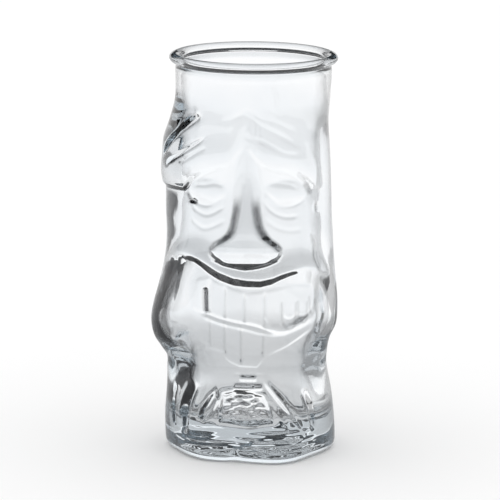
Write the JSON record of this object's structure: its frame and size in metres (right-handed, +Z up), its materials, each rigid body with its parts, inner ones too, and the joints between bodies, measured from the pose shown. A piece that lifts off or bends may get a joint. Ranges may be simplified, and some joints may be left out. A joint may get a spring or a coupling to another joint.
{
  "type": "glass tiki tumbler",
  "caption": "Clear glass drinking tumbler moulded as a grinning tiki head, with a bead rim, a round blown inside and a thick two-footed base.",
  "frame": {"origin": "on the axis of the rim, in the plane of the ring that the glass stands on", "axes": "+Z up out of the mouth; the face looks along -Y; +X is towards the right of someone who looks at the face"},
  "size_m": [0.0721, 0.0742, 0.155],
  "materials": {
    "glass": "clear, fire-polished soda-lime glass with a faint blue-grey body"
  },
  "bodies": {
    "root": {"foot": "glass", "face_wall": "glass", "rim_bead": "glass"}
  },
  "joints": []
}
